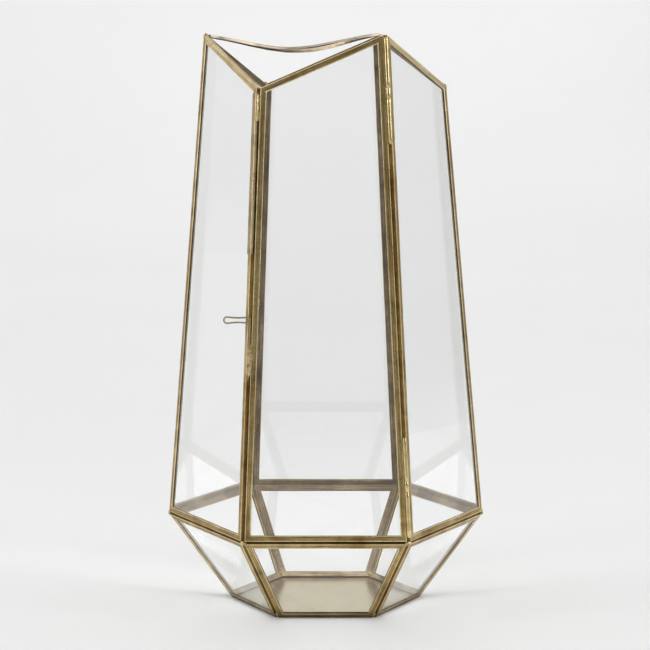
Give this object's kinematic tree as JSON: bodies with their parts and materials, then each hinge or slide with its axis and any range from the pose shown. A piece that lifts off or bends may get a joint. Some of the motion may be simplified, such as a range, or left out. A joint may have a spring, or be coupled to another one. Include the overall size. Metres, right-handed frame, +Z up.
{
  "type": "glass cloche",
  "caption": "Tall hexagonal leaded-glass cloche in brass channel: flared lower bowl, tapering upper panes, open crown rim, strip across the mouth, hinged side door with wire pull.",
  "frame": {"origin": "centre of the base plate's underside, on the surface the cloche stands on", "axes": "+Z up the vessel; the door faces -Y, with its hinges towards +X"},
  "size_m": [0.233, 0.203, 0.4132],
  "materials": {
    "channel_brass": "antiqued, satin, darkened in the grooves",
    "hinge_brass": "satin drawn tube and wire",
    "strip_brass": "dull grey-brown patina",
    "base_brass": "satin sheet",
    "solder": "rough solder toned to match the brass",
    "glass": "clear, faintly grey-green"
  },
  "bodies": {
    "vessel": {"base_plate": "base_brass", "lower_frame_R_BR": "channel_brass", "lower_glass_R_BR": "glass", "upper_frame_R_BR": "channel_brass", "upper_glass_R_BR": "glass", "lower_frame_BR_BL": "channel_brass", "lower_glass_BR_BL": "glass", "upper_frame_BR_BL": "channel_brass", "upper_glass_BR_BL": "glass", "lower_frame_BL_L": "channel_brass", "lower_glass_BL_L": "glass", "upper_frame_BL_L": "channel_brass", "upper_glass_BL_L": "glass", "lower_frame_L_FL": "channel_brass", "lower_glass_L_FL": "glass", "upper_frame_L_FL": "channel_brass", "upper_glass_L_FL": "glass", "lower_frame_FL_FR": "channel_brass", "lower_glass_FL_FR": "glass", "lower_frame_FR_R": "channel_brass", "lower_glass_FR_R": "glass", "upper_frame_FR_R": "channel_brass", "upper_glass_FR_R": "glass", "hinge_upper_tube_low": "hinge_brass", "hinge_upper_tube_high": "hinge_brass", "hinge_upper_pin": "hinge_brass", "hinge_lower_tube_low": "hinge_brass", "hinge_lower_tube_high": "hinge_brass", "hinge_lower_pin": "hinge_brass", "corner_rod": "hinge_brass", "top_strip": "strip_brass", "solder_belt_R": "solder", "solder_base_R": "solder", "solder_rim_R": "solder", "solder_belt_BR": "solder", "solder_base_BR": "solder", "solder_rim_BR": "solder", "solder_belt_BL": "solder", "solder_base_BL": "solder", "solder_rim_BL": "solder", "solder_belt_L": "solder", "solder_base_L": "solder", "solder_rim_L": "solder", "solder_belt_FL": "solder", "solder_base_FL": "solder", "solder_belt_FR": "solder", "solder_base_FR": "solder"},
    "door": {"door_frame": "channel_brass", "door_glass": "glass", "hinge_upper_tube_door": "hinge_brass", "hinge_lower_tube_door": "hinge_brass", "door_pull": "hinge_brass", "door_pull_solder": "solder"}
  },
  "joints": [
    {"name": "door_hinge", "type": "hinge", "parent": "vessel", "child": "door", "pos_m": [0.04938, -0.08725, 0.23893], "axis": [-0.0486, 0.0744, 0.996], "range_deg": [0, 150]}
  ]
}
